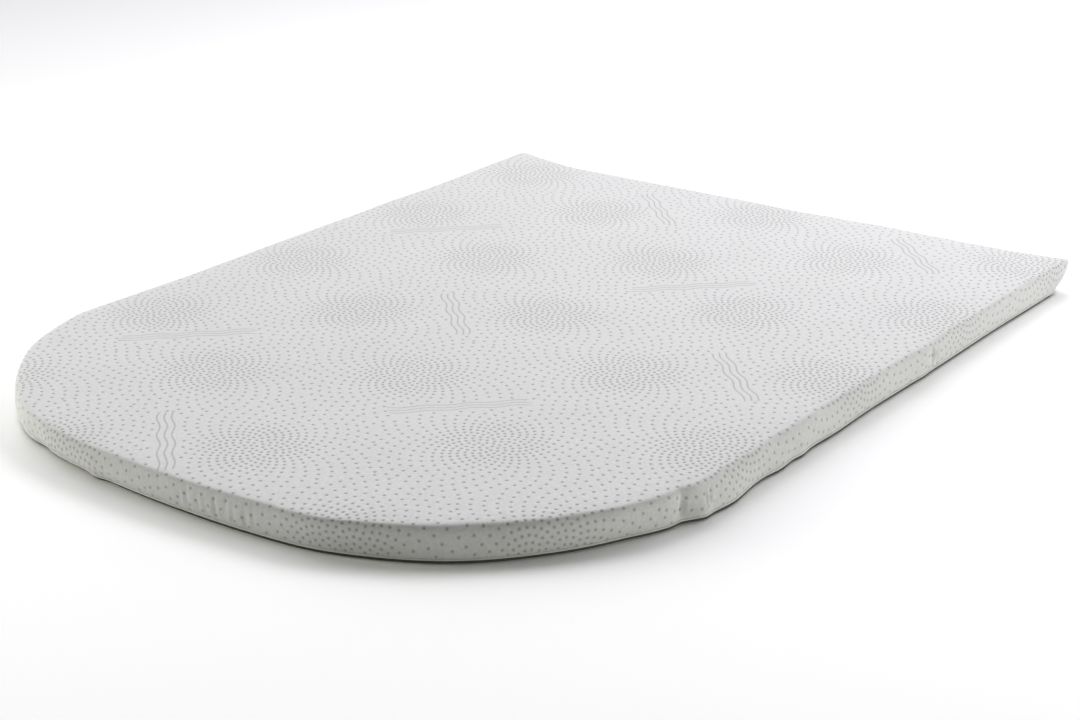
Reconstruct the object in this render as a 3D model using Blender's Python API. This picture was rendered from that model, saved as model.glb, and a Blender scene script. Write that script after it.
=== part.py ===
"""Mattress topper, D shaped: a foam slab in a knitted top-and-side cover, and the underside panel whose rim shows.

Metres, +Z up, resting on z = 0. +Y points to the straight head end, +X to the side with the two tucks.
The plan is worked out in widths, from the centre line and down from the head line, then turned into metres.
"""

import bpy
import numpy as np

# ---------------------------------------------------------------- sizes

WIDTH = 1.370  # over the straight sides
HEAD_Y = 0.9010  # the head line, so that the box's centre is at y = 0
MID_X = -0.0001  # the centre line, likewise
HEIGHT = 0.0600  # at the top edge
STATIONS = 260  # points round every ring
MM = 0.001

# The foot end is two quarters of a superellipse that meet at the apex, in widths from the centre and the head.
SIDE_X = 0.5
FOOT_STARTS, APEX_Y = 1.0012, 1.3381
ACROSS, ALONG = 3.21, 1.36

# The head line dips a little between its corners, and each corner ends in an ear at the top.
HEAD_DIP = 0.002
#        side  out sideways  out past the head  reach along the head  power
EARS = ((+1, 0.005, 0.011, 0.090, 1.7), (-1, 0.006, 0.031, 0.125, 1.25))
CORNER_ZONE = 0.088  # metres of each edge that the corner takes
CORNER_RADIUS = (0.078, 0.013)  # at the floor and at the top

# Section through the side wall. z is above the floor, out is past the plan's edge, both in millimetres.
#     z     out
BODY = (
    (2.8, -24.0),
    (3.2, -12.0),
    (4.3, -5.0),
    (6.0, -3.4),
    (7.4, -1.0),
    (10.0, 1.2),
    (17.5, 3.4),
    (29.0, 4.6),
    (40.0, 4.0),
    (48.5, 2.2),
    (54.6, -0.3),
    (57.9, -3.0),
    (59.5, -6.6),
    (60.2, -12.0),
)
# The top goes on inward from there: millimetres in from the edge, and the height of the crown there.
#     in     z
CROWN = (
    (24.0, 61.0),
    (45.0, 61.7),
    (85.0, 62.3),
    (160.0, 62.7),
    (300.0, 63.0),
    (480.0, 63.1),
)
CROWN_CENTRE = 63.1

# The panel under it, 2.4 mm thick, with its rim turned up to the seam.
#     z     out
PANEL = (
    (0.0, -22.0),
    (0.2, -9.0),
    (0.8, -3.6),
    (1.8, -1.2),
    (3.4, 0.3),
    (5.4, 0.5),
    (6.5, -0.3),
    (6.5, -1.5),
    (5.5, -2.5),
    (4.0, -4.5),
    (2.85, -12.0),
    (2.4, -30.0),
)

# Swells of the wall, in or out. x and y are the place, in widths; reach is in metres along the edge, the rest in millimetres.
#     x       y      reach   low   mid   top
SWELLS = (
    (0.010, 1.334, 0.110, -1.0, 0.0, 4.0),
    (0.205, 1.328, 0.075, 4.0, 3.0, 9.0),
    (0.335, 1.262, 0.110, 5.0, 1.0, 0.0),
    (0.370, 1.235, 0.060, 1.0, -2.0, -5.0),
    (0.462, 1.110, 0.050, -4.0, 0.0, 3.5),
    (0.489, 1.035, 0.020, -5.0, -4.0, -6.5),
    (0.496, 1.005, 0.018, 3.0, 0.0, -2.0),
    (0.500, 0.955, 0.062, 12.0, 6.0, -2.0),
    (0.500, 0.837, 0.036, 6.0, 2.0, -3.5),
    (0.500, 0.785, 0.024, 5.0, 2.0, -1.0),
    (0.500, 0.700, 0.060, 3.0, 0.0, -3.5),
    (0.500, 0.595, 0.060, -1.5, 0.0, -1.0),
    (0.500, 0.462, 0.034, 1.5, 3.0, 4.5),
    (0.500, 0.250, 0.120, -2.5, 0.0, 1.0),
    (0.500, 0.020, 0.050, 0.0, 3.0, 1.0),
    (-0.455, 1.130, 0.075, -3.0, 2.0, 5.0),
    (-0.370, 1.235, 0.090, -4.0, -5.0, -2.0),
    (-0.250, 1.303, 0.032, -5.0, -4.0, 0.0),
    (-0.180, 1.322, 0.200, -21.0, -3.0, -4.0),
    (-0.135, 1.330, 0.020, 6.0, 2.0, 0.0),
    (-0.500, 0.800, 0.200, -3.0, -4.0, -6.0),
    (-0.500, 0.340, 0.070, 2.0, 3.0, 4.0),
    (-0.500, 0.070, 0.140, 4.0, 5.0, 6.0),
    (0.050, 0.000, 0.070, 0.0, -3.0, -5.0),
    (0.205, 0.000, 0.055, 0.0, 3.0, 5.0),
)
# Pinches and creases of the wall: a soft spot at the height z, reaching along the edge and up, in millimetres.
#     x       y       z    along   up    out
PINCHES = (
    (0.4890, 1.0360, 26.0, 10.0, 13.0, -6.5),
    (0.4960, 1.0080, 20.0, 15.0, 14.0, 4.5),
    (0.4965, 1.0000, 34.0, 3.5, 10.0, -2.0),
    (0.5000, 0.4405, 35.0, 3.8, 19.0, -3.6),
    (0.5000, 0.4335, 39.0, 3.6, 18.0, 2.6),
    (0.5000, 0.4265, 33.0, 3.6, 16.0, -3.0),
)

# How close the stations stand: the step in millimetres, eased over the reach round a place.
STEP = 46.0
#     x       y     reach  step
CLOSER = (
    (0.0, 1.338, 0.560, 19.0),
    (0.455, 1.130, 0.130, 17.0),
    (-0.455, 1.130, 0.130, 18.0),
    (0.4920, 1.0200, 0.052, 5.0),
    (0.500, 0.960, 0.110, 15.0),
    (0.500, 0.838, 0.060, 20.0),
    (0.5000, 0.4335, 0.022, 2.9),
    (0.500, 0.430, 0.070, 16.0),
    (-0.135, 1.330, 0.032, 8.0),
    (0.500, 0.000, 0.066, 7.0),
    (-0.500, -0.010, 0.066, 7.0),
    (-0.400, 0.000, 0.080, 22.0),
)

# ---------------------------------------------------------------- plan


def foot_quarter(side, turn):
    """One quarter of the foot end, in widths. turn is 1 at the apex and 0 at the straight side."""
    angle = turn * np.pi / 2
    x = side * SIDE_X * np.cos(angle) ** (2 / ACROSS)
    y = FOOT_STARTS + (APEX_Y - FOOT_STARTS) * np.sin(angle) ** (2 / ALONG)
    return np.column_stack([x, y])


def corner(radius, part):
    """A head corner as two straight arms and an arc, in metres from the sharp corner: across, and down from the head. part runs from the side to the head."""
    arm = CORNER_ZONE - radius
    turn = np.clip((part - 0.25) / 0.5, 0, 1) * np.pi / 2
    x = radius * (np.cos(turn) - 1) - arm * np.clip((part - 0.75) / 0.25, 0, 1)
    y = radius * (1 - np.sin(turn)) + arm * np.clip(1 - part / 0.25, 0, 1)
    return x, y


def plan(level):
    """The edge of the plan as one closed line, in metres, anticlockwise from the apex. level is 0 at the floor and 1 at the top."""
    zone = CORNER_ZONE / WIDTH
    radius = CORNER_RADIUS[0] + (CORNER_RADIUS[1] - CORNER_RADIUS[0]) * level
    part = np.linspace(0, 1, 400, endpoint=False)
    right_side = FOOT_STARTS + (zone - FOOT_STARTS) * part
    left_side = zone + (FOOT_STARTS - zone) * part
    right_x, right_y = corner(radius, part)
    left_x, left_y = corner(radius, 1 - part)
    line = np.concatenate(
        [
            foot_quarter(+1, 1 - part),
            np.column_stack([np.full(400, SIDE_X), right_side]),
            np.column_stack([SIDE_X + right_x / WIDTH, right_y / WIDTH]),
            np.column_stack([(SIDE_X - zone) * (1 - 2 * part), np.zeros(400)]),
            np.column_stack([-SIDE_X - left_x / WIDTH, left_y / WIDTH]),
            np.column_stack([np.full(400, -SIDE_X), left_side]),
            foot_quarter(-1, part),
        ]
    )
    # The head line's dip and its ears.
    x, y = line[:, 0].copy(), line[:, 1].copy()
    near_head = np.clip(1 - y / 0.16, 0, 1) ** 2
    y += HEAD_DIP * (1 - (x / SIDE_X) ** 2) * near_head
    for side, out, past, reach, power in EARS:
        ramp = np.clip(1 - (SIDE_X - side * x) / reach, 0, 1) ** power * near_head
        x += side * out * ramp * level**1.4
        y -= past * ramp * level**1.4
    return np.column_stack([MID_X + x * WIDTH, HEAD_Y - y * WIDTH])


def spot(x, y):
    """A place given in widths, in metres."""
    return np.array([MID_X + x * WIDTH, HEAD_Y - y * WIDTH])


def lengths(line):
    """Length along a closed line at each of its points, and all of it."""
    steps = np.linalg.norm(np.roll(line, -1, 0) - line, axis=1)
    return np.concatenate([[0.0], np.cumsum(steps)[:-1]]), steps.sum()


BASE = plan(0.5)
BASE_AT, AROUND = lengths(BASE)


def station_of(x, y):
    """Length along the edge at the point nearest to a place given in widths."""
    return BASE_AT[np.argmin(np.linalg.norm(BASE - spot(x, y), axis=1))]


def apart(at, x, y):
    """Distance along the edge from the place to each station, the shorter way round."""
    gap = np.abs(at - station_of(x, y))
    return np.minimum(gap, AROUND - gap)


def stations(count):
    """Indices into plan(), as fractions, closer together at the corners, the foot and the tucks."""
    per_metre = np.full(len(BASE), 1 / (STEP * MM))
    for x, y, reach, step in CLOSER:
        ease = np.exp(-((apart(BASE_AT, x, y) / reach) ** 4))
        per_metre = np.maximum(per_metre, ease / (step * MM))
    steps = np.diff(np.concatenate([BASE_AT, [AROUND]]))
    run = np.concatenate([[0.0], np.cumsum(per_metre * steps)])
    want = np.linspace(0, run[-1], count, endpoint=False)
    return np.interp(want, run, np.arange(len(BASE) + 1))


PLACES = stations(STATIONS)
AT = np.interp(PLACES, np.arange(len(BASE) + 1), np.append(BASE_AT, AROUND))


def edge_at(level):
    """The plan's edge and its outward directions at the stations."""
    line = plan(level)
    closed = np.concatenate([line, line[:1]])
    index = np.arange(len(closed))
    points = np.stack(
        [np.interp(PLACES, index, closed[:, 0]), np.interp(PLACES, index, closed[:, 1])],
        1,
    )
    away = np.roll(points, -1, 0) - points
    back = points - np.roll(points, 1, 0)
    away /= np.linalg.norm(away, axis=1)[:, None]
    back /= np.linalg.norm(back, axis=1)[:, None]
    along = away + back
    along /= np.linalg.norm(along, axis=1)[:, None]
    return points, np.stack([along[:, 1], -along[:, 0]], 1)


def wall_swell(height):
    """How far the wall stands out at each station at this height, in metres."""
    share = np.clip(height / HEIGHT, 0, 1)
    low = np.clip(1 - 2 * share, 0, 1)
    top = np.clip(2 * share - 1, 0, 1)
    out = np.zeros(STATIONS)
    for x, y, reach, at_floor, at_mid, at_top in SWELLS:
        much = at_floor * low + at_mid * (1 - low - top) + at_top * top
        out += much * np.exp(-((apart(AT, x, y) / reach) ** 2))
    for x, y, z, along, up, much in PINCHES:
        high = np.exp(-(((height / MM - z) / up) ** 2))
        out += much * high * np.exp(-((apart(AT, x, y) / (along * MM)) ** 2))
    return out * MM


# ---------------------------------------------------------------- solids


def ring(z, out):
    """One ring round the wall, z and out in millimetres."""
    level = np.clip(z * MM / HEIGHT, 0, 1)
    points, outward = edge_at(level)
    points = points + outward * (out * MM + wall_swell(z * MM))[:, None]
    return np.column_stack([points, np.full(STATIONS, z * MM)])


def inward(rim, distance, z):
    """A ring of the top, drawn in from the rim towards the middle, distance and z in millimetres."""
    half_x, half_y = WIDTH / 2, (HEAD_Y - spot(0, APEX_Y)[1]) / 2
    middle = spot(0, APEX_Y / 2)
    # From the rim's own place, 12 mm in, so that the rings follow on evenly.
    less = (distance - 12.0) * MM
    keep = np.array([1 - less / half_x, 1 - less / half_y])
    points = middle + (rim[:, :2] - middle) * keep
    return np.column_stack([points, np.full(STATIONS, z * MM)])


def skin(rings, low, high):
    """Vertices and triangles of a solid from its rings, each closed by a fan to a middle point."""
    count = STATIONS
    middle = spot(0, APEX_Y / 2)
    points = np.concatenate(
        [*rings, [[*middle, low * MM]], [[*middle, high * MM]]]
    )
    bottom, top = len(points) - 2, len(points) - 1
    here = np.arange(count)
    after = np.roll(here, -1)
    faces = [np.column_stack([after, here, np.full(count, bottom)])]
    for k in range(len(rings) - 1):
        a, b = k * count + here, k * count + after
        d, c = a + count, b + count
        # Each quad is cut along its shorter diagonal.
        cross = np.linalg.norm(points[a] - points[c], axis=1) <= np.linalg.norm(
            points[b] - points[d], axis=1
        )
        faces.append(np.where(cross[:, None], np.stack([a, b, c], 1), np.stack([a, b, d], 1)))
        faces.append(np.where(cross[:, None], np.stack([a, c, d], 1), np.stack([b, c, d], 1)))
    last = (len(rings) - 1) * count
    faces.append(np.column_stack([last + here, last + after, np.full(count, top)]))
    return points, np.concatenate(faces)


def add_solid(name, points, faces, colour):
    mesh = bpy.data.meshes.new(name)
    mesh.from_pydata(points.tolist(), [], faces.tolist())
    mesh.update()
    material = bpy.data.materials.new(name)
    material.use_nodes = True
    shader = material.node_tree.nodes["Principled BSDF"]
    shader.inputs["Base Color"].default_value = colour
    shader.inputs["Roughness"].default_value = 0.9
    mesh.materials.append(material)
    obj = bpy.data.objects.new(name, mesh)
    bpy.context.scene.collection.objects.link(obj)
    return obj


def main():
    for obj in list(bpy.data.objects):
        bpy.data.objects.remove(obj, do_unlink=True)

    wall = [ring(z, out) for z, out in BODY]
    top = [inward(wall[-1], distance, z) for distance, z in CROWN]
    points, faces = skin(wall + top, BODY[0][0], CROWN_CENTRE)
    add_solid("topper_body", points, faces, (0.84, 0.85, 0.86, 1.0))

    points, faces = skin([ring(z, out) for z, out in PANEL], PANEL[0][0], PANEL[-1][0])
    add_solid("base_panel", points, faces, (0.35, 0.35, 0.34, 1.0))


main()
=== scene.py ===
"""The dressed mattress topper: its dimpled knitted cover, its underside panel, a floor and studio light.

Metres, in the CAD frame. The plan, the crown and the wall's swells and pinches are the same named values
as in the part's source. The wall's section is too, apart from its lowest 10 mm, and the panel's is finer
here.

The cover is laid out flat first, as unfolded cloth. Inside the edge that is the plan itself, and past the
edge it is the side wall folded out. The dimples and the mesh are set out there, and then the cloth is
folded over the foam.
"""

import math

import bpy
import numpy as np
from mathutils import Matrix, Vector
from mathutils.geometry import delaunay_2d_cdt
from mathutils.kdtree import KDTree


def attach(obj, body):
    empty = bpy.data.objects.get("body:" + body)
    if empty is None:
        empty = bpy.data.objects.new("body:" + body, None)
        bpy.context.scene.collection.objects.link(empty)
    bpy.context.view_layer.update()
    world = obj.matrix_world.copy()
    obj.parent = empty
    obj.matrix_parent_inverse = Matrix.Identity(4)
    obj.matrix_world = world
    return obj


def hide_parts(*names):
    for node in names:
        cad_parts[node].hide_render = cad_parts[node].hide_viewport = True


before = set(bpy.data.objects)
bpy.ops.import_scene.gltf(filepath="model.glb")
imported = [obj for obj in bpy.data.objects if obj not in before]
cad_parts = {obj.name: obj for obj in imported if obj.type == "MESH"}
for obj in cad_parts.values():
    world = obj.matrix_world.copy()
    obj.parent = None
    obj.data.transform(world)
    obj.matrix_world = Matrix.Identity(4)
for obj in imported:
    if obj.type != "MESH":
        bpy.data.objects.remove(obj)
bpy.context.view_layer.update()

# ---------------------------------------------------------------- sizes of the topper

# Places in plan are in widths, from the centre line and down from the head line.

WIDTH = 1.370  # over the straight sides
HEAD_Y = 0.9010  # the head line
MID_X = -0.0001  # the centre line
HEIGHT = 0.0600  # at the top edge
MM = 0.001

SIDE_X = 0.5
FOOT_STARTS, APEX_Y = 1.0012, 1.3381
ACROSS, ALONG = 3.21, 1.36  # the powers of the foot's curve
PIECE_POINTS = 400  # on each of the plan's seven pieces

HEAD_DIP = 0.002
HEAD_REACH = 0.16  # down from the head line, over which its dip and its ears fade
EAR_RISE = 1.4  # the power of the height by which the ears grow
#        side  out sideways  out past the head  reach along the head  power
EARS = ((+1, 0.005, 0.011, 0.090, 1.7), (-1, 0.006, 0.031, 0.125, 1.25))
CORNER_ZONE = 0.088  # metres of each edge that a corner takes
CORNER_RADIUS = (0.078, 0.013)  # at the floor and at the top

# Section of the wall from the top down to the seam, and its hidden turn under the foam, in mm.
#     z     out
WALL = (
    (60.2, -12.0),
    (59.5, -6.6),
    (57.9, -3.0),
    (54.6, -0.3),
    (48.5, 2.2),
    (40.0, 4.0),
    (29.0, 4.6),
    (17.5, 3.4),
    (10.0, 1.3),
    (7.4, -0.4),
    (6.4, -2.0),
)
TURNED_UNDER = ((5.6, -4.6), (4.6, -12.0), (3.5, -24.0))
# The crown of the top: in from the edge, and the height there, in mm.
#     in     z
CROWN = (
    (12.0, 60.2),
    (24.0, 61.0),
    (45.0, 61.7),
    (85.0, 62.3),
    (160.0, 62.7),
    (300.0, 63.0),
    (480.0, 63.1),
    (700.0, 63.1),
)
# The panel, in mm: from the floor up its cloth is painted dark as the shadow line under the edge, and above
# that is the pale hem that it is sewn into.
#     z     out
PANEL = (
    (0.2, -60.0),
    (0.25, -24.0),
    (0.3, -8.0),
    (0.6, -2.2),
    (1.4, -0.2),
    (2.6, 0.8),
    (3.9, 1.1),
    (5.0, 1.2),
    (5.8, 1.7),
    (6.7, 1.8),
    (7.6, 1.2),
    (8.0, 0.1),
    (7.6, -1.2),
    (6.5, -2.4),
    (4.9, -4.8),
    (3.9, -12.0),
    (2.9, -28.0),
    (2.5, -46.0),
)
HEM_FROM, HEM_BLEND = 6.2, 0.4  # where the hem starts above the floor, and over how much, in mm

# Swells of the wall, in or out, in mm at the floor, at mid height and at the top. x and y are the place,
# in widths, and reach is in metres along the edge.
#     x       y      reach   low   mid   top
SWELLS = (
    (0.010, 1.334, 0.110, -1.0, 0.0, 4.0),
    (0.205, 1.328, 0.075, 4.0, 3.0, 9.0),
    (0.335, 1.262, 0.110, 5.0, 1.0, 0.0),
    (0.370, 1.235, 0.060, 1.0, -2.0, -5.0),
    (0.462, 1.110, 0.050, -4.0, 0.0, 3.5),
    (0.489, 1.035, 0.020, -5.0, -4.0, -6.5),
    (0.496, 1.005, 0.018, 3.0, 0.0, -2.0),
    (0.500, 0.955, 0.062, 12.0, 6.0, -2.0),
    (0.500, 0.837, 0.036, 6.0, 2.0, -3.5),
    (0.500, 0.785, 0.024, 5.0, 2.0, -1.0),
    (0.500, 0.700, 0.060, 3.0, 0.0, -3.5),
    (0.500, 0.595, 0.060, -1.5, 0.0, -1.0),
    (0.500, 0.462, 0.034, 1.5, 3.0, 4.5),
    (0.500, 0.250, 0.120, -2.5, 0.0, 1.0),
    (0.500, 0.020, 0.050, 0.0, 3.0, 1.0),
    (-0.455, 1.130, 0.075, -3.0, 2.0, 5.0),
    (-0.370, 1.235, 0.090, -4.0, -5.0, -2.0),
    (-0.250, 1.303, 0.032, -5.0, -4.0, 0.0),
    (-0.180, 1.322, 0.200, -21.0, -3.0, -4.0),
    (-0.135, 1.330, 0.020, 6.0, 2.0, 0.0),
    (-0.500, 0.800, 0.200, -3.0, -4.0, -6.0),
    (-0.500, 0.340, 0.070, 2.0, 3.0, 4.0),
    (-0.500, 0.070, 0.140, 4.0, 5.0, 6.0),
    (0.050, 0.000, 0.070, 0.0, -3.0, -5.0),
    (0.205, 0.000, 0.055, 0.0, 3.0, 5.0),
)
# Pinches of the wall: a soft spot at the height z, reaching along the edge and up, in mm.
#     x       y       z    along   up    out
PINCHES = (
    (0.4890, 1.0360, 26.0, 10.0, 13.0, -6.5),
    (0.4960, 1.0080, 20.0, 15.0, 14.0, 4.5),
    (0.4965, 1.0000, 34.0, 3.5, 10.0, -2.0),
    (0.5000, 0.4405, 35.0, 3.8, 19.0, -3.6),
    (0.5000, 0.4335, 39.0, 3.6, 18.0, 2.6),
    (0.5000, 0.4265, 33.0, 3.6, 16.0, -3.0),
)
# Fine creases of the cloth, which the source doesn't have. past is how far along the edge from the place,
# and lean is how far along for each mm up.
#     x       y      past    z    lean  along   up    out
CREASES = (
    (0.4890, 1.0360, -9.0, 30.0, -0.10, 3.6, 14.0, 1.4),
    (0.4890, 1.0360, 0.0, 38.0, 0.05, 4.2, 13.0, -2.8),
    (0.4890, 1.0360, 9.0, 32.0, 0.20, 3.6, 14.0, 1.8),
    (0.4960, 1.0080, 5.0, 34.0, 0.25, 2.4, 11.0, -2.2),
    (0.4960, 1.0080, 10.0, 36.0, 0.30, 2.2, 10.0, 1.8),
    (0.4960, 1.0080, 15.0, 33.0, 0.30, 2.4, 11.0, -2.0),
    (0.4960, 1.0080, 24.0, 20.0, 0.90, 3.0, 9.0, -2.0),
    (0.5000, 0.4335, -10.0, 36.0, 0.60, 2.8, 13.0, -1.8),
    (0.5000, 0.4335, 12.0, 37.0, 0.60, 2.8, 13.0, -1.8),
)
# Ripples of the front wall, which are creases too: their middle, in widths, and how many each way. The rest
# is in mm.
RIPPLES = (0.0720, 1.3370, 4)
RIPPLE_STEP = 19.0
RIPPLE_Z, RIPPLE_ALONG, RIPPLE_UP, RIPPLE_OUT = 30.0, 4.4, 18.0, -1.7

# ---------------------------------------------------------------- sizes of the cloth and its mesh

STATION_STEP = 2.3  # mm between the stations of the wall's grid
WALL_ROWS = 44
SMOOTH_OVER = 4  # stations each way, over which the edge's direction is taken
LINE_STEPS = 16  # from each point of a section to the next
CROWN_STEPS = 200

# The wall's swell and the padding's unevenness fade out and in over these widths of the top, in metres.
SWELL_FADE = 0.080
PADDING_FADE = 0.050
PADDING_SLOW, PADDING_QUICK = 0.32, 0.16  # the padding's unevenness, in mm

# The weave's figure: sunflower spirals of dimples on two interleaved lattices, which are in widths.
LATTICE_COLUMNS, LATTICE_ROWS = range(-3, 4), range(-2, 6)
COLUMN_STEP = 0.215
ROW_STEP = 0.288
COLUMN_START = 0.027
ROW_START = (0.072, 0.200)  # even and odd columns
ROW_TILT = -0.028
SPIRAL_TURN = 0.7  # radians, of each spiral against the one before
SPIRAL_REACH, SPIRAL_TABLE = 230.0, 500  # mm from its centre, and the steps of its table
GOLDEN_ANGLE = math.pi * (3 - math.sqrt(5))
NEAR_STEP, FAR_STEP = 11.4, 19.2  # mm between dimples, at a centre and far from it
NEAR_REACH, FAR_REACH = 62.0, 140.0  # mm from a centre, between which the step grows
DIMPLE_APART = 9.6  # mm, at the least
DIMPLE_RADIUS = 4.1  # mm
DIMPLE_SIDES = 6
DIMPLE_TURN = 0.9  # radians, of each dimple's mesh against the one before
DIMPLE_DEPTH = 1.4  # mm
DIMPLE_LEAN = 0.6  # how much the light sees of the slope round a dimple
ON_WALL = 0.68  # share of the depth and of the painted shade on the wall, where the cloth is pulled tight
PULL_FROM, PULL_OVER = -10.0, 14.0  # mm past the edge where that starts, and over how much
SEAM_MARGIN = 4.5  # mm of the wall above the seam without dimples

# Plain wave lines in some places between the spirals, three side by side, leaning one way or the other.
# Their centres are in widths, and the rest is in mm.
WAVES_UP = ((0.140, 0.985), (-0.310, 0.991), (0.125, 0.431), (-0.327, 0.413))
WAVES_DOWN = ((-0.075, 0.717), (0.358, 0.702), (0.314, 0.118), (-0.124, 0.134), (-0.075, 1.268))
WAVE_LENGTH = 230.0
WAVE_SWING = 2.6
WAVE_PERIOD = 76.0
WAVE_GAP = 12.0
WAVE_STEP = 4.6
WAVE_TURN = math.radians(45)
WAVE_DEPTH = 0.7
WAVE_PAINTED_SHADE = 0.43  # share of a dimple's painted shade
WAVE_HALF_WIDTH = 2.2
WAVE_MARGIN = 9.0  # without dimples

# Rows of mesh points along the edge: out past the edge and the step along it, in mm.
EDGE_ROWS = (
    (-42.0, 15.0),
    (-27.0, 11.0),
    (-17.0, 8.0),
    (-10.0, 6.5),
    (-5.5, 6.0),
    (-1.5, 6.0),
    (3.0, 6.0),
    (8.5, 6.5),
    (15.0, 7.0),
    (22.0, 7.0),
    (29.0, 7.0),
    (36.0, 7.0),
    (42.5, 6.5),
    (47.5, 6.0),
)
RIM_STEP = 6.0
PANEL_STATIONS = 930
PANEL_STEPS = 2  # from each point of its profile to the next
FILL_STEP, FILL_ROW = 15.0, 0.866  # in the bare places of the top, and the rows' step as a share of it
FILL_INSIDE = 52.0  # how far in from the edge these start
# Patches of fine mesh on the wall, for the creases: the place, and how far along the edge each way, in mm.
FINE_PATCHES = ((0.4960, 1.0080, 58.0), (0.5000, 0.4335, 26.0), (0.0720, 1.3370, 88.0))
FINE_STEP = 2.8
FINE_ROWS = (-3.0, 50.0)  # how far past the edge they start and end
FILLER_GAP = 2.4  # mm at the least between these mesh points
DIMPLE_CLEAR = 1.3  # mm outside a dimple's rim
WAVE_CLEAR = 2.0  # mm outside a wave line's sides
FILL_CLEAR = 9.0  # mm from a dimple's middle to the points in the bare places

# ---------------------------------------------------------------- looks, light and camera

KNIT_COLOUR = (0.656, 0.656, 0.654)
DIMPLE_PAINTED_SHADE = 0.54  # how much painted shade darkens the middle of a dimple
# Painted shadow: below the hem the panel is coloured as dark as the contact shadow under the edge.
PANEL_PAINTED_SHADOW_COLOUR = (0.082, 0.083, 0.077)
HEM_COLOUR = (0.800, 0.805, 0.780)
KNIT_STEP, KNIT_LEAN = 0.0016, math.radians(32)  # metres between the knit's rows of loops
WEAVE_STEP = 0.0012  # metres between the panel's threads
MIX_A, MIX_B, MIX_RESULT = 6, 7, 2  # the colour sockets of a Mix node

FLOOR_COLOUR = (0.97, 0.97, 0.965)
FLOOR_GLOW = 0.05
FLOOR_HALF = 60.0
WORLD_GLOW = 0.03

SUN_POWER = 3.16
SUN_SPREAD = math.radians(60)
SUN_FROM = (-1.0, 0.6, 0.75)
SUN_COLOUR = (0.955, 0.955, 1.0)
#     place           width height watts  aimed at           colour
SOFTBOXES = (
    ((7.0, 0.0, 0.95), 4.0, 1.3, 112.0, (0.6, 0.0, 0.0), (1.00, 1.00, 0.84)),
    ((4.2, 2.6, 0.6), 1.6, 0.9, 42.0, (0.69, 0.2, 0.0), (0.98, 0.98, 1.00)),
    ((-3.0, -2.6, 1.0), 1.6, 1.2, 70.0, (-0.5, -0.9, 0.0), (1.00, 1.00, 0.87)),
    ((1.6, 2.0, 2.0), 1.6, 1.2, 19.0, (0.3, 0.4, 0.0), (0.98, 0.97, 1.00)),
    ((0.0, 2.7, 3.1), 3.0, 1.6, 81.0, (0.0, 0.5, 0.0), (0.98, 0.975, 1.00)),
)

CAMERA_PLACE = (2.28997, -3.13536, 1.40882)
CAMERA_TURN = (math.radians(69.643), 0.0, math.radians(35.747))
LENS = 73.476
SENSOR_WIDTH = 36.0
CLIP_END = 200.0

# ---------------------------------------------------------------- plan


def foot_quarter(side, turn):
    """One quarter of the foot end, in widths. turn is 1 at the apex and 0 at the straight side."""
    angle = turn * np.pi / 2
    x = side * SIDE_X * np.cos(angle) ** (2 / ACROSS)
    y = FOOT_STARTS + (APEX_Y - FOOT_STARTS) * np.sin(angle) ** (2 / ALONG)
    return np.column_stack([x, y])


def corner(radius, part):
    """A head corner, in metres from the sharp corner: across, and down from the head.

    part runs from the side to the head. The arc takes its middle half, and a straight arm each quarter.
    """
    arm = CORNER_ZONE - radius
    turn = np.clip((part - 0.25) / 0.5, 0, 1) * np.pi / 2
    x = radius * (np.cos(turn) - 1) - arm * np.clip((part - 0.75) / 0.25, 0, 1)
    y = radius * (1 - np.sin(turn)) + arm * np.clip(1 - part / 0.25, 0, 1)
    return x, y


def plan(level):
    """The edge of the plan in metres, anticlockwise from the apex.

    level is 0 at the floor and 1 at the top.
    """
    zone = CORNER_ZONE / WIDTH
    radius = CORNER_RADIUS[0] + (CORNER_RADIUS[1] - CORNER_RADIUS[0]) * level
    part = np.linspace(0, 1, PIECE_POINTS, endpoint=False)
    right_side = FOOT_STARTS + (zone - FOOT_STARTS) * part
    left_side = zone + (FOOT_STARTS - zone) * part
    right_x, right_y = corner(radius, part)
    left_x, left_y = corner(radius, 1 - part)
    line = np.concatenate(
        [
            foot_quarter(+1, 1 - part),
            np.column_stack([np.full(PIECE_POINTS, SIDE_X), right_side]),
            np.column_stack([SIDE_X + right_x / WIDTH, right_y / WIDTH]),
            np.column_stack([(SIDE_X - zone) * (1 - 2 * part), np.zeros(PIECE_POINTS)]),
            np.column_stack([-SIDE_X - left_x / WIDTH, left_y / WIDTH]),
            np.column_stack([np.full(PIECE_POINTS, -SIDE_X), left_side]),
            foot_quarter(-1, part),
        ]
    )
    x, y = line[:, 0].copy(), line[:, 1].copy()
    near_head = np.clip(1 - y / HEAD_REACH, 0, 1) ** 2
    y += HEAD_DIP * (1 - (x / SIDE_X) ** 2) * near_head
    for side, out, beyond, reach, power in EARS:
        ramp = np.clip(1 - (SIDE_X - side * x) / reach, 0, 1) ** power * near_head
        x += side * out * ramp * level**EAR_RISE
        y -= beyond * ramp * level**EAR_RISE
    return np.column_stack([MID_X + x * WIDTH, HEAD_Y - y * WIDTH])


def spot(x, y):
    """A place given in widths, in metres."""
    return np.array([MID_X + x * WIDTH, HEAD_Y - y * WIDTH])


BASE = plan(0.5)
BASE_STEPS = np.linalg.norm(np.roll(BASE, -1, 0) - BASE, axis=1)
BASE_AT = np.concatenate([[0.0], np.cumsum(BASE_STEPS)])
AROUND = BASE_AT[-1]
COUNT = int(AROUND / (STATION_STEP * MM))
AT = np.arange(COUNT) * AROUND / COUNT
PLACES = np.interp(AT, BASE_AT, np.arange(len(BASE) + 1))


def station_of(x, y):
    """Length along the edge at the point nearest to a place given in widths."""
    return BASE_AT[np.argmin(np.linalg.norm(BASE - spot(x, y), axis=1))]


def past(x, y):
    """Distance along the edge from the place to each station, less than zero before it."""
    return (AT - station_of(x, y) + AROUND / 2) % AROUND - AROUND / 2


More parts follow.
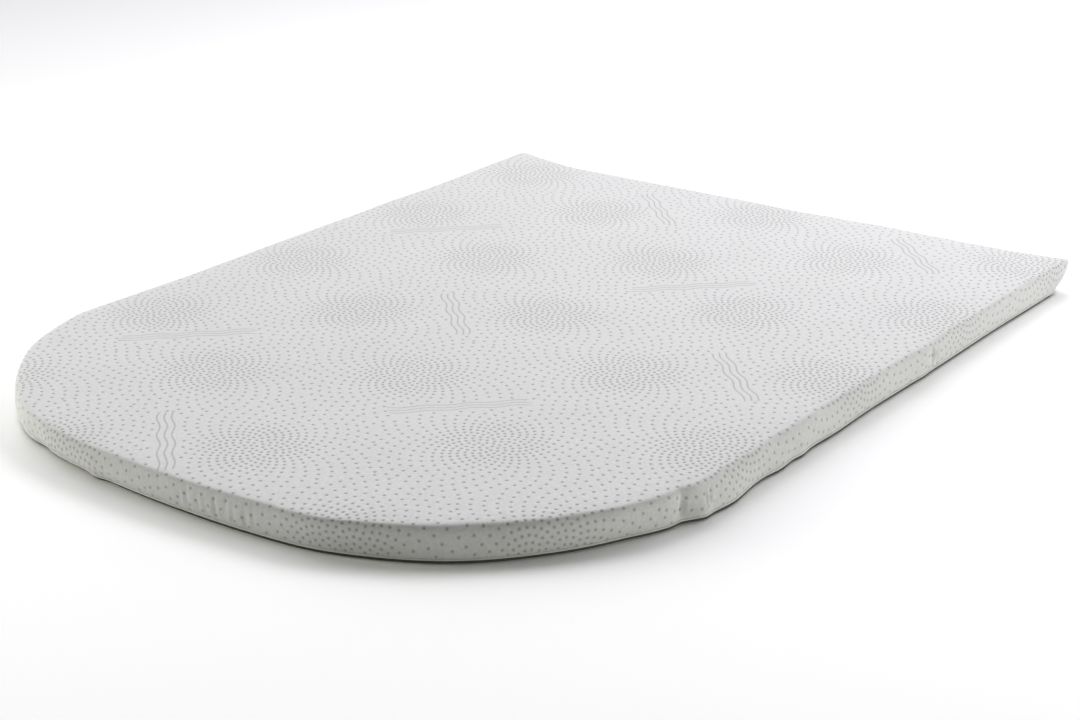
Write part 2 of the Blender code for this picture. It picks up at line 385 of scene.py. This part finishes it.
def edge_at(level):
    """The plan's edge and its outward directions at the stations."""
    line = plan(level)
    closed = np.concatenate([line, line[:1]])
    index = np.arange(len(closed))
    points = np.stack([np.interp(PLACES, index, closed[:, k]) for k in (0, 1)], 1)
    along = np.roll(points, -SMOOTH_OVER, 0) - np.roll(points, SMOOTH_OVER, 0)
    along /= np.linalg.norm(along, axis=1)[:, None]
    return points, np.stack([along[:, 1], -along[:, 0]], 1)


def ripples():
    """The front wall's ripples as rows of creases, a little uneven in place, lean and depth."""
    x, y, each_way = RIPPLES
    rows = []
    for k in range(-each_way, each_way + 1):
        shift = RIPPLE_STEP * k + 3.0 * math.sin(2.4 * k)
        z = RIPPLE_Z + 4.0 * math.sin(1.7 * k)
        lean = 0.1 * math.sin(k)
        much = RIPPLE_OUT - 0.6 * math.cos(2.1 * k)
        rows.append((x, y, shift, z, lean, RIPPLE_ALONG, RIPPLE_UP, much))
    return rows


def wall_swell(height):
    """How far the wall stands out at each station at this height, in metres."""
    share = np.clip(height / HEIGHT, 0, 1)
    low = np.clip(1 - 2 * share, 0, 1)
    top = np.clip(2 * share - 1, 0, 1)
    out = np.zeros(COUNT)
    for x, y, reach, at_floor, at_mid, at_top in SWELLS:
        much = at_floor * low + at_mid * (1 - low - top) + at_top * top
        out += much * np.exp(-((past(x, y) / reach) ** 2))
    for x, y, z, along, up, much in PINCHES:
        high = np.exp(-(((height / MM - z) / up) ** 2))
        out += much * high * np.exp(-((past(x, y) / (along * MM)) ** 2))
    for x, y, shift, z, lean, along, up, much in [*CREASES, *ripples()]:
        rise = height / MM - z
        across = past(x, y) / MM - shift - lean * rise
        out += much * np.exp(-((rise / up) ** 2)) * np.exp(-((across / along) ** 2))
    return out * MM


def ring(z, out):
    """One ring round the wall, z and out in millimetres."""
    points, outward = edge_at(np.clip(z * MM / HEIGHT, 0, 1))
    points = points + outward * (out * MM + wall_swell(z * MM))[:, None]
    return np.column_stack([points, np.full(COUNT, z * MM)])


def curve_through(points, per_piece):
    """A smooth curve through the points, with so many steps from each to the next."""
    knots = np.asarray(points, float)
    knots = np.vstack([2 * knots[0] - knots[1], knots, 2 * knots[-1] - knots[-2]])
    t = np.linspace(0, 1, per_piece, endpoint=False)[:, None]
    bits = []
    for a, b, c, d in zip(knots, knots[1:], knots[2:], knots[3:]):
        square = (2 * a - 5 * b + 4 * c - d) * t**2
        cube = (3 * b - a - 3 * c + d) * t**3
        bits.append(0.5 * (2 * b + (c - a) * t + square + cube))
    return np.vstack(bits + [knots[-2:-1]])


def smooth_line(points, count):
    """A smooth curve through the points, at even steps along it, and its length there."""
    line = curve_through(points, LINE_STEPS)
    run = np.concatenate([[0.0], np.cumsum(np.linalg.norm(np.diff(line, axis=0), axis=1))])
    want = np.linspace(0, run[-1], count)
    return np.column_stack([np.interp(want, run, line[:, k]) for k in (0, 1)]), want


# ---------------------------------------------------------------- folding the flat cloth over the foam

EDGE, OUTWARD = edge_at(1.0)
SECTION, SECTION_RUN = smooth_line(WALL, WALL_ROWS)
WALL_STARTS = WALL[0][1] * MM  # out past the edge, in the flat cloth
WALL_ENDS = WALL_STARTS + SECTION_RUN[-1] * MM
WALL_GRID = np.stack([ring(z, out) for z, out in SECTION])
TOP_SWELL = wall_swell(WALL[0][0] * MM)
CROWN_LINE, _ = smooth_line(CROWN, CROWN_STEPS)


def tree_of(points):
    """A search tree of flat points."""
    tree = KDTree(len(points))
    for index, (x, y) in enumerate(points):
        tree.insert((x, y, 0.0), index)
    tree.balance()
    return tree


EDGE_TREE = tree_of(EDGE)


def ease(value):
    """0 to 1 with a soft start and end."""
    value = np.clip(value, 0, 1)
    return value * value * (3 - 2 * value)


def split(station):
    """The whole stations before and after fractional ones, and the share of the way between them."""
    whole = np.floor(station)
    first = whole.astype(int) % COUNT
    return first, (first + 1) % COUNT, (station - whole)[:, None]


def edge_point(station):
    """The edge and its outward direction at fractional stations."""
    first, after, part = split(station)
    points = EDGE[first] * (1 - part) + EDGE[after] * part
    outward = OUTWARD[first] * (1 - part) + OUTWARD[after] * part
    return points, outward / np.linalg.norm(outward, axis=1)[:, None]


def foot_of(points):
    """For each flat point, its fractional station and how far it is out past the edge, in metres."""
    near = np.array([EDGE_TREE.find((x, y, 0.0))[1] for x, y in points])

    def ahead(station):
        gap = points - EDGE[station]
        return gap[:, 1] * OUTWARD[station][:, 0] - gap[:, 0] * OUTWARD[station][:, 1]

    first = np.where(ahead(near) >= 0, near, near - 1) % COUNT
    before, after = ahead(first), ahead((first + 1) % COUNT)
    part = np.clip(before / np.maximum(before - after, 1e-9), 0, 1)
    station = first + part
    foot, outward = edge_point(station)
    return station, np.sum((points - foot) * outward, axis=1)


def padding_rise(points):
    """Slow unevenness of the padding under the top, in metres."""
    x, y = points[:, 0], points[:, 1]
    slow = np.sin(x * 21 + 2.1 * np.sin(y * 9)) * np.cos(y * 17 + 1.7 * np.sin(x * 11))
    quick = np.sin(x * 47 + y * 18 + 1.0) * np.sin(y * 52 - x * 23)
    return (PADDING_SLOW * slow + PADDING_QUICK * quick) * MM


def on_wall(station, out):
    """Where the cloth lies on the wall, at fractional stations and this far out past the flat edge."""
    first, after, part = split(station)
    row = np.clip((out - WALL_STARTS) / (WALL_ENDS - WALL_STARTS), 0, 1) * (WALL_ROWS - 1)
    upper = np.minimum(np.floor(row).astype(int), WALL_ROWS - 2)
    down = (row - upper)[:, None]
    above = WALL_GRID[upper, first] * (1 - part) + WALL_GRID[upper, after] * part
    below = WALL_GRID[upper + 1, first] * (1 - part) + WALL_GRID[upper + 1, after] * part
    return above * (1 - down) + below * down


def on_top(points, station, out):
    """Where the cloth lies on the crowned top, for flat points and their place at the edge."""
    first, after, part = split(station)
    part = part[:, 0]
    _, outward = edge_point(station)
    inside = WALL_STARTS - out
    swell = TOP_SWELL[first] * (1 - part) + TOP_SWELL[after] * part
    swell = swell * (1 - ease(inside / SWELL_FADE))
    z = np.interp(-out / MM, CROWN_LINE[:, 0], CROWN_LINE[:, 1]) * MM
    z = z + padding_rise(points) * ease(inside / PADDING_FADE)
    return np.column_stack([points + outward * swell[:, None], z])


def fold(points):
    """Flat cloth points in their place on the foam."""
    station, out = foot_of(points)
    inside = (out < WALL_STARTS)[:, None]
    return np.where(inside, on_top(points, station, out), on_wall(station, out))


# ---------------------------------------------------------------- setting out the flat cloth


def beside_edge(out, step, start=0.0):
    """A row of flat points along the edge, out past it and a step apart, in mm."""
    count = int(AROUND / MM / step)
    station = (np.arange(count) + start) * COUNT / count % COUNT
    points, outward = edge_point(station)
    return points + outward * out * MM


def spiral_centres():
    """Centres of the sunflower spirals, on and a little past the cloth."""
    centres = []
    for column in LATTICE_COLUMNS:
        for row in LATTICE_ROWS:
            x = COLUMN_START + COLUMN_STEP * column
            y = ROW_START[column % 2] + ROW_STEP * row + ROW_TILT * (x - COLUMN_START)
            centres.append(spot(x, y))
    return np.array(centres)


def spiral():
    """Dimples round one centre, close together at the middle and wider apart outside, in metres."""
    radius = np.linspace(0.0, SPIRAL_REACH, SPIRAL_TABLE)
    share = ease((radius - NEAR_REACH) / (FAR_REACH - NEAR_REACH))
    step = NEAR_STEP + (FAR_STEP - NEAR_STEP) * share
    density = 2 * np.pi * radius / step**2
    added = (density[1:] + density[:-1]) / 2 * np.diff(radius)
    count = np.concatenate([[0.0], np.cumsum(added)])
    number = np.arange(int(count[-1]))
    out = np.interp(number + 0.5, count, radius)
    angle = number * GOLDEN_ANGLE
    return np.column_stack([out * np.cos(angle), out * np.sin(angle)]) * MM


def turned(angle):
    """The matrix that turns rows of flat points by an angle."""
    return np.array([[math.cos(angle), math.sin(angle)], [-math.sin(angle), math.cos(angle)]])


def wave_lines():
    """The wave lines, each as a row of flat points with its sideways direction."""
    along = np.arange(-WAVE_LENGTH / 2, WAVE_LENGTH / 2 + 1, WAVE_STEP)
    swing = WAVE_SWING * np.sin(along / WAVE_PERIOD * 2 * np.pi)
    slope = WAVE_SWING * 2 * np.pi / WAVE_PERIOD * np.cos(along / WAVE_PERIOD * 2 * np.pi)
    sideways = np.column_stack([-slope, np.ones_like(slope)])
    sideways /= np.linalg.norm(sideways, axis=1)[:, None]
    lines = []
    for places, turn in ((WAVES_UP, WAVE_TURN), (WAVES_DOWN, -WAVE_TURN)):
        for x, y in places:
            for side in (-1, 0, 1):
                flat = np.column_stack([along, swing + side * WAVE_GAP]) * MM
                lines.append((spot(x, y) + flat @ turned(turn), sideways @ turned(turn)))
    return lines


def clear_of(points, tree, distance):
    """The points further than the distance, in mm, from all those in the tree."""
    keep = [tree.find((x, y, 0.0))[2] > distance * MM for x, y in points]
    return points[np.array(keep, bool)]


def dimples(lines):
    """Middles of all the dimples in the flat cloth, in metres."""
    centres = spiral_centres()
    pattern = spiral()
    found = []
    for index, centre in enumerate(centres):
        points = centre + pattern @ turned(SPIRAL_TURN * index)
        nearest = np.linalg.norm(points[:, None] - centres[None], axis=2).argmin(axis=1)
        found.append(points[nearest == index])
    points = np.concatenate(found)
    _, out = foot_of(points)
    points = points[out < WALL_ENDS - SEAM_MARGIN * MM]
    points = clear_of(points, tree_of(np.concatenate([line for line, _ in lines])), WAVE_MARGIN)
    return points[far_enough(points)]


def far_enough(points):
    """Which dimples stay: where two spirals meet, of two that stand too close one is left out."""
    tree = tree_of(points)
    kept = np.ones(len(points), bool)
    for index, (x, y) in enumerate(points):
        for _, other, _ in tree.find_range((x, y, 0.0), DIMPLE_APART * MM):
            if other < index and kept[other]:
                kept[index] = False
    return kept


def dimple_points(middles):
    """Mesh points of the dimples: the middles, then the rings round them."""
    turn = np.arange(len(middles)) * DIMPLE_TURN
    rings = []
    for side in range(DIMPLE_SIDES):
        angle = turn + side * 2 * np.pi / DIMPLE_SIDES
        around = np.column_stack([np.cos(angle), np.sin(angle)])
        rings.append(middles + DIMPLE_RADIUS * MM * around)
    return np.concatenate([middles] + rings)


def fillers():
    """Rows of mesh points, those of the crease patches first, then those along the edge and the wall."""
    rows = [beside_edge(out, step, 0.5 * (k % 2)) for k, (out, step) in enumerate(EDGE_ROWS)]
    for x, y, reach in FINE_PATCHES:
        middle = station_of(x, y) / AROUND * COUNT
        steps = np.arange(-reach, reach, FINE_STEP)
        for k, out in enumerate(np.arange(*FINE_ROWS, FINE_STEP)):
            along = steps + 0.5 * (k % 2) * FINE_STEP
            station = (middle + along * MM / AROUND * COUNT) % COUNT
            points, outward = edge_point(station)
            rows.insert(0, points + outward * out * MM)
    return rows


def bare_fillers():
    """An even field of mesh points over the top, for its bare places."""
    rows = []
    near, far = EDGE.min(0), EDGE.max(0)
    for k, y in enumerate(np.arange(near[1], far[1], FILL_STEP * MM * FILL_ROW)):
        x = np.arange(near[0], far[0], FILL_STEP * MM) + 0.5 * (k % 2) * FILL_STEP * MM
        points = np.column_stack([x, np.full(len(x), y)])
        _, out = foot_of(points)
        rows.append(points[out < -FILL_INSIDE * MM])
    return np.concatenate(rows)


def thinned(rows, gap):
    """The rows' points as one set, without those nearer than the gap, in mm, to one kept before."""
    cell = gap * MM
    taken = {}
    kept = []
    for x, y in np.concatenate(rows):
        i, j = int(x // cell), int(y // cell)
        cells = [(a, b) for a in (i - 1, i, i + 1) for b in (j - 1, j, j + 1)]
        near = [taken[place] for place in cells if place in taken]
        if all((x - p) ** 2 + (y - q) ** 2 > cell * cell for p, q in near):
            taken[i, j] = (x, y)
            kept.append((x, y))
    return np.array(kept)


# ---------------------------------------------------------------- meshes


def vertex_normals(points, faces):
    """The outward direction at each point, weighted by the size of the faces round it."""
    a, b, c = points[faces[:, 0]], points[faces[:, 1]], points[faces[:, 2]]
    face = np.cross(b - a, c - a)
    normals = np.zeros_like(points)
    for k in range(3):
        np.add.at(normals, faces[:, k], face)
    return normals / np.linalg.norm(normals, axis=1)[:, None]


def new_piece(name, points, faces):
    """A smooth-shaded mesh object in the scene."""
    mesh = bpy.data.meshes.new(name)
    mesh.from_pydata(points.tolist(), [], faces.tolist())
    mesh.update()
    mesh.shade_smooth()
    obj = bpy.data.objects.new(name, mesh)
    bpy.context.scene.collection.objects.link(obj)
    return obj


def add_attribute(piece, name, values):
    """A named value on each of a piece's points, 0 on those that come after the given ones."""
    full = np.zeros(len(piece.data.vertices), np.float32)
    full[: len(values)] = values
    piece.data.attributes.new(name, "FLOAT", "POINT").data.foreach_set("value", full)


def ring_at(z, out, count):
    """One ring round the wall, z and out in millimetres, of this many points."""
    line = ring(z, out)
    station = np.arange(count) * COUNT / count
    return np.column_stack([np.interp(station, np.arange(COUNT), line[:, k]) for k in range(3)])


def between(first, second):
    """Triangles between two rings of point numbers."""
    first_after, second_after = np.roll(first, -1), np.roll(second, -1)
    return np.concatenate(
        [
            np.column_stack([first, first_after, second_after]),
            np.column_stack([first, second_after, second]),
        ]
    )


def fan(numbers, tip):
    """Triangles between a ring of point numbers and one point in its middle."""
    return np.column_stack([np.roll(numbers, -1), numbers, np.full(len(numbers), tip)])


def cloth_faces(points, rim):
    """Triangles between flat points. The last rim points are the cloth's edge, in order."""
    total = len(points)
    start = total - rim
    edges = [(start + k, start + (k + 1) % rim) for k in range(rim)]
    flat = [Vector(p) for p in points]
    result = delaunay_2d_cdt(flat, edges, [], 1, 1e-7, True)
    origin = np.array([ids[0] for ids in result[3]])
    faces = origin[np.array(result[2])]
    # Along a straight side the edge's points are in line, and slivers between them lie outside the cloth.
    return faces[(faces < start).any(axis=1)]


def flat_cloth(middles, lines):
    """All mesh points of the flat cloth, and how many of them, the last ones, are its edge."""
    wave_middles = np.concatenate([line for line, _ in lines])
    wave_sides = []
    for line, across in lines:
        for side in (-1, 1):
            wave_sides.append(line + side * WAVE_HALF_WIDTH * MM * across)
    near_dimple = tree_of(middles)
    filler = clear_of(thinned(fillers(), FILLER_GAP), near_dimple, DIMPLE_RADIUS + DIMPLE_CLEAR)
    filler = np.concatenate([filler, clear_of(bare_fillers(), near_dimple, FILL_CLEAR)])
    filler = clear_of(filler, tree_of(wave_middles), WAVE_HALF_WIDTH + WAVE_CLEAR)
    rim = beside_edge(WALL_ENDS / MM, RIM_STEP)
    flat = np.concatenate([dimple_points(middles), wave_middles, *wave_sides, filler, rim])
    return flat, len(rim)


def relief(total, middles, lines):
    """How deep each mesh point lies below the cloth's face, in mm, and its share of a dimple's painted
    shade.
    """
    depth = np.zeros(total)
    _, out = foot_of(middles)
    pulled = ease((out / MM - PULL_FROM) / PULL_OVER)
    depth[: len(middles)] = DIMPLE_DEPTH * (1 - (1 - ON_WALL) * pulled)
    # Painted shade: it follows the depth, full at a dimple's middle and less on the wall, and set apart for
    # the wave lines.
    shade = depth / DIMPLE_DEPTH
    waves_start = len(middles) * (1 + DIMPLE_SIDES)
    waves_end = waves_start + sum(len(line) for line, _ in lines)
    depth[waves_start:waves_end] = WAVE_DEPTH
    shade[waves_start:waves_end] = WAVE_PAINTED_SHADE
    return depth, shade


def turn_under(points, rim):
    """Adds the cloth's turn under the foam, out of sight. Gives all points and the turn's triangles."""
    rings = [ring_at(z, out, rim) for z, out in TURNED_UNDER]
    middle = np.append(spot(0, APEX_Y / 2), TURNED_UNDER[-1][0] * MM)
    numbers = len(points) - rim + np.arange(rim * (len(rings) + 1)).reshape(-1, rim)
    points = np.concatenate([points, *rings, [middle]])
    faces = [between(lower, upper) for upper, lower in zip(numbers, numbers[1:])]
    faces.append(fan(numbers[-1], len(points) - 1))
    return points, np.concatenate(faces)


def build_cover():
    """The top-and-side cover: the folded cloth with its dimples and wave lines."""
    lines = wave_lines()
    middles = dimples(lines)
    flat, rim = flat_cloth(middles, lines)
    faces = cloth_faces(flat, rim)
    points = fold(flat)
    depth, shade = relief(len(points), middles, lines)
    face_out = vertex_normals(points, faces)
    points = points - face_out * depth[:, None] * MM
    lean = face_out * (1 - DIMPLE_LEAN) + vertex_normals(points, faces) * DIMPLE_LEAN

    points, under = turn_under(points, rim)
    faces = np.concatenate([faces, under])
    cover = new_piece("topper_cover", points, faces)
    all_lean = vertex_normals(points, faces)
    all_lean[: len(lean)] = lean
    cover.data.normals_split_custom_set_from_vertices(all_lean.tolist())
    add_attribute(cover, "dimple", shade)
    return cover


def build_panel():
    """The underside panel: a sheet on the floor whose rim turns up to the seam."""
    profile = curve_through(PANEL, PANEL_STEPS)
    rings = [ring_at(z, out, PANEL_STATIONS) for z, out in profile]
    middle = spot(0, APEX_Y / 2)
    tips = [[*middle, profile[end][0] * MM] for end in (0, -1)]
    points = np.concatenate([*rings, tips])
    numbers = np.arange(len(rings) * PANEL_STATIONS).reshape(-1, PANEL_STATIONS)
    faces = [between(lower, upper) for lower, upper in zip(numbers, numbers[1:])]
    faces.append(fan(numbers[0], len(points) - 2))
    faces.append(fan(numbers[-1][::-1], len(points) - 1))
    panel = new_piece("underside_panel", points, np.concatenate(faces))
    add_attribute(panel, "hem", np.clip((points[:, 2] / MM - HEM_FROM) / HEM_BLEND, 0, 1))
    return panel


# ---------------------------------------------------------------- materials


def new_material(name):
    """A node material with its Principled shader."""
    material = bpy.data.materials.new(name)
    material.use_nodes = True
    nodes, links = material.node_tree.nodes, material.node_tree.links
    return material, nodes, links, nodes["Principled BSDF"]


def math_node(nodes, links, operation, first, second):
    """A Math node of two sockets or numbers."""
    node = nodes.new("ShaderNodeMath")
    node.operation = operation
    for socket, value in zip(node.inputs, (first, second)):
        if isinstance(value, (int, float)):
            socket.default_value = value
        else:
            links.new(value, socket)
    return node.outputs[0]


def point_value(nodes, name):
    """The value that the mesh holds under this name."""
    node = nodes.new("ShaderNodeAttribute")
    node.attribute_name = name
    return node.outputs["Fac"]


def band_wave(nodes, links, place, wavelength, turn):
    """Parallel ribs of this wavelength in metres, turned in plan, from 0 to 1."""
    mapping = nodes.new("ShaderNodeMapping")
    mapping.inputs["Rotation"].default_value = (0, 0, turn)
    links.new(place, mapping.inputs["Vector"])
    wave = nodes.new("ShaderNodeTexWave")
    wave.bands_direction = "X"
    # At scale 1 the bands lie 2 pi / 20 metres apart.
    wave.inputs["Scale"].default_value = 2 * math.pi / (20 * wavelength)
    wave.inputs["Distortion"].default_value = 0.6
    wave.inputs["Detail"].default_value = 1.0
    links.new(mapping.outputs["Vector"], wave.inputs["Vector"])
    return wave.outputs["Fac"]


def cloud(nodes, links, place, scale, detail, low, high):
    """Slow noise between two values."""
    noise = nodes.new("ShaderNodeTexNoise")
    noise.inputs["Scale"].default_value = scale
    noise.inputs["Detail"].default_value = detail
    links.new(place, noise.inputs["Vector"])
    spread = nodes.new("ShaderNodeMapRange")
    spread.inputs["From Min"].default_value = 0.3
    spread.inputs["From Max"].default_value = 0.7
    spread.inputs["To Min"].default_value = low
    spread.inputs["To Max"].default_value = high
    links.new(noise.outputs["Fac"], spread.inputs["Value"])
    return spread.outputs["Result"]


def mixed(nodes, links, blend, factor, first, second):
    """Two colours mixed in this way. The factor and the colours are sockets or constants."""
    mix = nodes.new("ShaderNodeMix")
    mix.data_type = "RGBA"
    mix.blend_type = blend
    sockets = (mix.inputs["Factor"], mix.inputs[MIX_A], mix.inputs[MIX_B])
    for socket, value in zip(sockets, (factor, first, second)):
        if isinstance(value, bpy.types.NodeSocket):
            links.new(value, socket)
        else:
            socket.default_value = value
    return mix.outputs[MIX_RESULT]


def tinted(nodes, links, colour, factor):
    """The colour times a factor."""
    return mixed(nodes, links, "MULTIPLY", 1.0, (*colour, 1.0), factor)


def add_bump(nodes, links, shader, height, strength, distance):
    """Makes the surface look raised by the height."""
    bump = nodes.new("ShaderNodeBump")
    bump.inputs["Strength"].default_value = strength
    bump.inputs["Distance"].default_value = distance
    links.new(height, bump.inputs["Height"])
    links.new(bump.outputs["Normal"], shader.inputs["Normal"])


def knit_material():
    """The cover's knit: fine loops, slow and fine changes of tone, and painted shade in the dimples and
    wave lines.
    """
    material, nodes, links, shader = new_material("cover_knit_cloth")
    place = nodes.new("ShaderNodeTexCoord").outputs["Object"]
    # Painted shade: the mesh value dimple darkens the knit most at each dimple's middle and along the wave
    # lines.
    dimple = point_value(nodes, "dimple")
    rest = math_node(nodes, links, "SUBTRACT", 2.0, dimple)
    core = math_node(nodes, links, "MULTIPLY", dimple, rest)
    shade = math_node(nodes, links, "MULTIPLY", core, -DIMPLE_PAINTED_SHADE)
    shade = math_node(nodes, links, "ADD", shade, 1.0)
    slow = cloud(nodes, links, place, scale=5.0, detail=2.0, low=0.975, high=1.0)
    fine = cloud(nodes, links, place, scale=190.0, detail=3.0, low=0.88, high=1.0)
    tone = math_node(nodes, links, "MULTIPLY", shade, slow)
    tone = math_node(nodes, links, "MULTIPLY", tone, fine)
    links.new(tinted(nodes, links, KNIT_COLOUR, tone), shader.inputs["Base Color"])
    rough = cloud(nodes, links, place, scale=300.0, detail=2.0, low=0.80, high=0.95)
    links.new(rough, shader.inputs["Roughness"])
    shader.inputs["Specular IOR Level"].default_value = 0.25
    shader.inputs["Sheen Weight"].default_value = 0.20
    shader.inputs["Sheen Roughness"].default_value = 0.45
    one = band_wave(nodes, links, place, KNIT_STEP, KNIT_LEAN)
    other = band_wave(nodes, links, place, KNIT_STEP, -KNIT_LEAN)
    loops = math_node(nodes, links, "MULTIPLY", one, other)
    add_bump(nodes, links, shader, loops, strength=0.30, distance=0.0003)
    return material


def panel_material():
    """The panel's weave, painted dark as the shadow line under the edge, and the pale weave of its hem."""
    material, nodes, links, shader = new_material("base_cloth_weave")
    place = nodes.new("ShaderNodeTexCoord").outputs["Object"]
    slow = cloud(nodes, links, place, scale=7.0, detail=2.0, low=0.94, high=1.0)
    # Painted shadow: below the hem the panel takes the dark painted shadow colour.
    painted_shadow = tinted(nodes, links, PANEL_PAINTED_SHADOW_COLOUR, slow)
    pale = tinted(nodes, links, HEM_COLOUR, slow)
    colour = mixed(nodes, links, "MIX", point_value(nodes, "hem"), painted_shadow, pale)
    links.new(colour, shader.inputs["Base Color"])
    rough = cloud(nodes, links, place, scale=400.0, detail=2.0, low=0.85, high=0.97)
    links.new(rough, shader.inputs["Roughness"])
    shader.inputs["Specular IOR Level"].default_value = 0.2
    one = band_wave(nodes, links, place, WEAVE_STEP, 0.0)
    other = band_wave(nodes, links, place, WEAVE_STEP, math.radians(90))
    weave = math_node(nodes, links, "ADD", one, other)
    add_bump(nodes, links, shader, weave, strength=0.30, distance=0.0002)
    return material


def floor_material():
    """Matt white with very slow changes of tone, and a faint glow."""
    material, nodes, links, shader = new_material("floor_white")
    place = nodes.new("ShaderNodeTexCoord").outputs["Object"]
    slow = cloud(nodes, links, place, scale=1.5, detail=1.0, low=0.995, high=1.0)
    links.new(tinted(nodes, links, FLOOR_COLOUR, slow), shader.inputs["Base Color"])
    shader.inputs["Roughness"].default_value = 1.0
    shader.inputs["Specular IOR Level"].default_value = 0.0
    shader.inputs["Emission Color"].default_value = (1.0, 1.0, 1.0, 1.0)
    shader.inputs["Emission Strength"].default_value = FLOOR_GLOW
    return material


# ---------------------------------------------------------------- floor, light and camera


def aim(obj, place, target):
    """Puts a lamp at a place, turned to face the target."""
    turn = (Vector(target) - Vector(place)).to_track_quat("-Z", "Y")
    obj.matrix_world = Matrix.Translation(place) @ turn.to_matrix().to_4x4()


def new_lamp(name, kind, power, colour):
    """A lamp in the scene, and its light."""
    light = bpy.data.lights.new(name, kind)
    light.energy = power
    light.color = colour
    lamp = bpy.data.objects.new(name, light)
    bpy.context.scene.collection.objects.link(lamp)
    return lamp, light


def add_lights():
    """A broad sun as skylight, and the softboxes, which the camera doesn't see."""
    lamp, sun = new_lamp("sky_light", "SUN", SUN_POWER, SUN_COLOUR)
    sun.angle = SUN_SPREAD
    aim(lamp, SUN_FROM, (0, 0, 0))
    for index, (place, width, height, watts, target, colour) in enumerate(SOFTBOXES):
        lamp, light = new_lamp(f"softbox_{index}", "AREA", watts, colour)
        light.shape = "RECTANGLE"
        light.size = width
        light.size_y = height
        lamp.visible_camera = False
        aim(lamp, place, target)


def set_world():
    """A faint even white light from all sides."""
    world = bpy.data.worlds.new("studio")
    bpy.context.scene.world = world
    world.use_nodes = True
    background = world.node_tree.nodes["Background"]
    background.inputs["Color"].default_value = (1.0, 1.0, 1.0, 1.0)
    background.inputs["Strength"].default_value = WORLD_GLOW


def add_floor():
    """A large plain floor at z = 0."""
    corners = [(-1, -1, 0), (1, -1, 0), (1, 1, 0), (-1, 1, 0)]
    points = np.array(corners, float) * FLOOR_HALF
    floor = new_piece("studio_floor", points, np.array([(0, 1, 2), (0, 2, 3)]))
    floor.data.materials.append(floor_material())


def add_camera():
    """The camera at the photograph's place, turned as it was."""
    camera = bpy.data.cameras.new("photo_camera")
    camera.lens = LENS
    camera.sensor_width = SENSOR_WIDTH
    camera.clip_end = CLIP_END
    obj = bpy.data.objects.new("photo_camera", camera)
    obj.location = CAMERA_PLACE
    obj.rotation_euler = CAMERA_TURN
    bpy.context.scene.collection.objects.link(obj)
    bpy.context.scene.camera = obj


# ---------------------------------------------------------------- the scene


def main():
    """Builds the pieces and the studio."""
    bpy.context.scene.view_settings.view_transform = "Standard"
    cover = build_cover()
    cover.data.materials.append(knit_material())
    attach(cover, "root")
    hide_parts("topper_body")

    panel = build_panel()
    panel.data.materials.append(panel_material())
    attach(panel, "root")
    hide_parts("base_panel")

    add_floor()
    set_world()
    add_lights()
    add_camera()


main()
